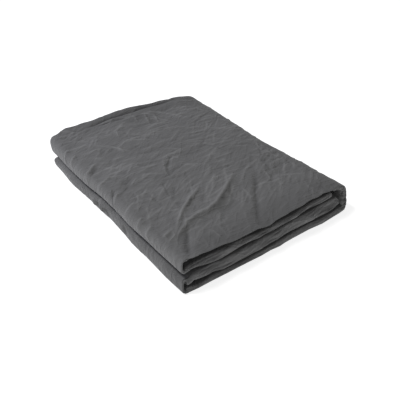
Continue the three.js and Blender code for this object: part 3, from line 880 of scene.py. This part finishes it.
def drawn_noise(tree, cloth, first, second, place):
    """A noise drawn out on the cloth: its place is multiplied by one scale across the folds and one along."""
    stretch = add_node(tree, "ShaderNodeCombineXYZ", place)
    tree.links.new(first, stretch.inputs["X"])
    tree.links.new(second, stretch.inputs["Y"])
    scaled = add_node(tree, "ShaderNodeVectorMath", (place[0] + 180, place[1]))
    scaled.operation = "MULTIPLY"
    tree.links.new(cloth, scaled.inputs[0])
    tree.links.new(stretch.outputs[0], scaled.inputs[1])
    noise = add_node(tree, "ShaderNodeTexNoise", (place[0] + 360, place[1]), Scale=1.0, Detail=NOISE_DETAIL)
    noise.noise_dimensions = "2D"
    tree.links.new(scaled.outputs[0], noise.inputs["Vector"])
    return noise.outputs["Fac"]


def math_node(tree, operation, place, *values):
    """A maths node whose inputs are sockets or plain numbers."""
    node = add_node(tree, "ShaderNodeMath", place)
    node.operation = operation
    for socket, value in zip(node.inputs, values):
        if isinstance(value, (int, float)):
            socket.default_value = value
        else:
            tree.links.new(value, socket)
    return node.outputs[0]


def slub_group():
    """Uneven yarns: two noises, each drawn out along the yarns of one direction, as their mean."""
    tree, source, result = shade_group(
        "uneven yarns",
        [("Cloth", "NodeSocketVector"), ("Yarn width", "NodeSocketFloat"),
         ("Yarn length", "NodeSocketFloat")],
        [("Tone", "NodeSocketFloat")],
    )
    across = math_node(tree, "DIVIDE", (0, 100), 1, source.outputs["Yarn width"])
    along = math_node(tree, "DIVIDE", (0, -100), 1, source.outputs["Yarn length"])
    warp = drawn_noise(tree, source.outputs["Cloth"], across, along, (200, 150))
    weft = drawn_noise(tree, source.outputs["Cloth"], along, across, (200, -150))
    both = math_node(tree, "ADD", (800, 0), warp, weft)
    tree.links.new(math_node(tree, "MULTIPLY", (1000, 0), both, 0.5), result.inputs["Tone"])
    return tree


def crinkle_group():
    """Fine crinkles: noise that is turned and drawn out, and whose middle value makes thin crests.

    A crest's height is one less twice the distance of the noise from its middle, to a power that makes it
    thin.
    """
    tree, source, result = shade_group(
        "fine crinkles",
        [("Cloth", "NodeSocketVector"), ("Turn", "NodeSocketFloat"), ("Crinkle width", "NodeSocketFloat"),
         ("Crinkle length", "NodeSocketFloat"), ("Thinness", "NodeSocketFloat")],
        [("Height", "NodeSocketFloat")],
    )
    turned = add_node(tree, "ShaderNodeVectorRotate", (-200, 0))
    turned.rotation_type = "Z_AXIS"
    tree.links.new(source.outputs["Cloth"], turned.inputs["Vector"])
    tree.links.new(source.outputs["Turn"], turned.inputs["Angle"])
    along = math_node(tree, "DIVIDE", (0, 100), 1, source.outputs["Crinkle length"])
    across = math_node(tree, "DIVIDE", (0, -100), 1, source.outputs["Crinkle width"])
    noise = drawn_noise(tree, turned.outputs[0], along, across, (200, 0))
    off = math_node(tree, "ABSOLUTE", (950, 0), math_node(tree, "SUBTRACT", (800, 0), noise, 0.5))
    crest = math_node(tree, "SUBTRACT", (1250, 0), 1, math_node(tree, "MULTIPLY", (1100, 0), off, 2))
    height = math_node(tree, "POWER", (1400, 0), crest, source.outputs["Thinness"])
    tree.links.new(height, result.inputs["Height"])
    return tree


def place_group(tree, group, place, **values):
    """A group placed in a material's tree with its own values."""
    node = add_node(tree, "ShaderNodeGroup", place)
    node.node_tree = group
    set_values(node, **values)
    return node


def linen_material(colour):
    """Washed linen: a matt, slightly fuzzy cloth with uneven yarns, fine crinkles, and creases with painted
    highlights, painted shade and some wear.
    """
    material = bpy.data.materials.new("washed linen")
    material.use_nodes = True
    tree = material.node_tree
    shader = tree.nodes["Principled BSDF"]
    set_values(shader, Roughness=LINEN_ROUGH, Specular_IOR_Level=LINEN_GLOSS)
    set_values(shader, Sheen_Weight=LINEN_FUZZ, Sheen_Roughness=FUZZ_ROUGH)
    cloth = add_node(tree, "ShaderNodeUVMap", (-1100, 0))
    cloth.uv_map = "cloth"
    yarns = place_group(tree, slub_group(), (-850, 300), Yarn_width=YARN_WIDTH, Yarn_length=YARN_LENGTH)
    tree.links.new(cloth.outputs["UV"], yarns.inputs["Cloth"])
    crinkle_tree = crinkle_group()
    heights = []
    for index, (turn, wide, long, thin) in enumerate(CRINKLES):
        crinkles = place_group(
            tree, crinkle_tree, (-850, -100 - 250 * index),
            Turn=turn, Crinkle_width=wide, Crinkle_length=long, Thinness=thin,
        )
        tree.links.new(cloth.outputs["UV"], crinkles.inputs["Cloth"])
        heights.append(crinkles.outputs["Height"])
    tones = add_node(tree, "ShaderNodeValToRGB", (-550, 300))
    dark, light = tones.color_ramp.elements
    dark.position, light.position = TONE_RANGE
    dark.color = (*(DARK_YARN * value for value in colour[:3]), 1)
    light.color = (*(LIGHT_YARN * value for value in colour[:3]), 1)
    tree.links.new(yarns.outputs["Tone"], tones.inputs["Fac"])
    # Painted light and shade, with some wear, from the per-point attribute: it makes the yarns' colour paler
    # or darker
    painted_shading_and_wear = add_node(tree, "ShaderNodeAttribute", (-850, 500))
    painted_shading_and_wear.attribute_name = "painted_shading_and_wear"
    paler = math_node(tree, "MULTIPLY_ADD", (-550, 500), painted_shading_and_wear.outputs["Fac"], SHADING_AND_WEAR_TONE, 1)
    worn = add_node(tree, "ShaderNodeVectorMath", (-250, 400))
    worn.operation = "SCALE"
    tree.links.new(tones.outputs["Color"], worn.inputs[0])
    tree.links.new(paler, worn.inputs["Scale"])
    tree.links.new(worn.outputs[0], shader.inputs["Base Color"])
    both = math_node(tree, "ADD", (-500, -200), *heights)
    bump = add_node(tree, "ShaderNodeBump", (-250, -200), Strength=CRINKLE_STRENGTH, Distance=CRINKLE_HIGH)
    tree.links.new(both, bump.inputs["Height"])
    tree.links.new(bump.outputs["Normal"], shader.inputs["Normal"])
    return material


def floor_material(colour, glow):
    """Plain pale studio paper, lit a little from below."""
    material = bpy.data.materials.new("studio paper")
    material.use_nodes = True
    shader = material.node_tree.nodes["Principled BSDF"]
    set_values(shader, Roughness=FLOOR_ROUGH, Base_Color=(*colour, 1))
    set_values(shader, Emission_Color=(1, 1, 1, 1), Emission_Strength=glow)
    return material


def area_light(name, power, place, aim, size, colour):
    """Adds a soft square light at a place, turned to an aim."""
    data = bpy.data.lights.new(name, "AREA")
    data.shape = "SQUARE"
    data.size = size
    data.energy = power
    data.color = colour
    light = bpy.data.objects.new(name, data)
    light.location = place
    light.rotation_euler = (Vector(aim) - Vector(place)).to_track_quat("-Z", "Y").to_euler()
    bpy.context.scene.collection.objects.link(light)


class CoverSizes(bpy.types.PropertyGroup):
    """Sizes and colour of the folded cover."""

    size: bpy.props.FloatVectorProperty(
        name="Folded size", description="Outer size of the settled pile",
        default=tuple(NODE_SIZE), size=3, unit="LENGTH", subtype="XYZ",
    )
    colour: bpy.props.FloatVectorProperty(
        name="Linen", description="Colour of the cloth",
        default=tuple(LINEN_COLOUR[:3]), size=3, min=0, max=1, subtype="COLOR",
    )


class StageLooks(bpy.types.PropertyGroup):
    """Floor and light of the stage."""

    floor_colour: bpy.props.FloatVectorProperty(
        name="Floor", description="Colour of the floor",
        default=(0.4, 0.4, 0.4), size=3, min=0, max=1, subtype="COLOR",
    )
    floor_wide: bpy.props.FloatProperty(
        name="Floor width", description="Width of the square floor", default=12.0, unit="LENGTH",
    )
    floor_glow: bpy.props.FloatProperty(
        name="Floor glow", description="Strength of the light from below the floor", default=0.8, min=0,
    )
    sky: bpy.props.FloatProperty(
        name="Sky", description="Strength of the even light from all round", default=0.26, min=0,
    )
    key: bpy.props.FloatProperty(
        name="Key", description="Power of the large light over the bights", default=33.5, unit="POWER", min=0,
    )
    fill: bpy.props.FloatProperty(
        name="Fill", description="Power of the low light beside the bights", default=1.0, unit="POWER", min=0,
    )


class OBJECT_OT_fold_duvet_cover(bpy.types.Operator):
    """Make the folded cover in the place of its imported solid"""

    bl_idname = "object.fold_duvet_cover"
    bl_label = "Fold the duvet cover"

    def execute(self, context):
        sizes = context.scene.cover_sizes
        points, flat, painted_shading_and_wear = cover_grid(np.array(sizes.size) / MM)
        cover = bpy.data.objects.new("duvet_cover", ringed_mesh("duvet_cover", points, flat, painted_shading_and_wear))
        context.scene.collection.objects.link(cover)
        cover.data.materials.append(linen_material(sizes.colour))
        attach(cover, BODY)
        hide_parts(NODE)
        return {"FINISHED"}


class SCENE_OT_set_cover_stage(bpy.types.Operator):
    """Make the floor, the lights and the camera"""

    bl_idname = "scene.set_cover_stage"
    bl_label = "Set the stage"

    def execute(self, context):
        looks = context.scene.stage_looks
        self.make_floor(context, looks)
        self.make_lights(context, looks)
        self.make_camera(context)
        context.scene.view_settings.view_transform = "Standard"
        return {"FINISHED"}

    def make_floor(self, context, looks):
        """A plain square floor just below the pile."""
        half = looks.floor_wide / 2
        mesh = bpy.data.meshes.new("floor")
        corners = [(-half, -half, 0), (half, -half, 0), (half, half, 0), (-half, half, 0)]
        mesh.from_pydata(corners, [], [(0, 1, 2, 3)])
        floor = bpy.data.objects.new("floor", mesh)
        floor.location.z = -FLOOR_DROP
        mesh.materials.append(floor_material(looks.floor_colour, looks.floor_glow))
        context.scene.collection.objects.link(floor)

    def make_lights(self, context, looks):
        """An even sky, a large light over the bights and a low one beside them."""
        world = bpy.data.worlds.new("soft sky")
        world.use_nodes = True
        set_values(world.node_tree.nodes["Background"], Color=(1, 1, 1, 1), Strength=looks.sky)
        context.scene.world = world
        area_light("key", power=looks.key, **KEY_LIGHT)
        area_light("fill", power=looks.fill, **FILL_LIGHT)

    def make_camera(self, context):
        """A camera that stands back from the pile by its turn and rise, moved aside in its own plane."""
        back = Vector((
            math.sin(VIEW_TURN) * math.cos(VIEW_RISE),
            -math.cos(VIEW_TURN) * math.cos(VIEW_RISE),
            math.sin(VIEW_RISE),
        ))
        right = Vector((math.cos(VIEW_TURN), math.sin(VIEW_TURN), 0))
        up = back.cross(right)
        place = Vector((0, 0, VIEW_MIDDLE)) + back * VIEW_DISTANCE + right * VIEW_RIGHT + up * VIEW_UP
        data = bpy.data.cameras.new("camera")
        data.lens = LENS
        camera = bpy.data.objects.new("camera", data)
        camera.rotation_euler = Matrix((right, up, back)).transposed().to_euler()
        camera.location = place * MM
        context.scene.collection.objects.link(camera)
        context.scene.camera = camera


class VIEW3D_PT_duvet_cover(bpy.types.Panel):
    """Sizes, colours and steps of the folded cover"""

    bl_label = "Duvet cover"
    bl_space_type = "VIEW_3D"
    bl_region_type = "UI"
    bl_category = "Duvet cover"

    def draw(self, context):
        for group, operator in ((context.scene.cover_sizes, OBJECT_OT_fold_duvet_cover),
                                (context.scene.stage_looks, SCENE_OT_set_cover_stage)):
            box = self.layout.box()
            for name in group.__annotations__:
                box.prop(group, name)
            box.operator(operator.bl_idname)


CLASSES = (
    CoverSizes,
    StageLooks,
    OBJECT_OT_fold_duvet_cover,
    SCENE_OT_set_cover_stage,
    VIEW3D_PT_duvet_cover,
)


def register():
    for cls in CLASSES:
        bpy.utils.register_class(cls)
    bpy.types.Scene.cover_sizes = bpy.props.PointerProperty(type=CoverSizes)
    bpy.types.Scene.stage_looks = bpy.props.PointerProperty(type=StageLooks)


def unregister():
    del bpy.types.Scene.stage_looks
    del bpy.types.Scene.cover_sizes
    for cls in reversed(CLASSES):
        bpy.utils.unregister_class(cls)


def main():
    register()
    bpy.ops.object.fold_duvet_cover()
    bpy.ops.scene.set_cover_stage()
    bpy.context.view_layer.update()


if __name__ == "__main__":
    main()
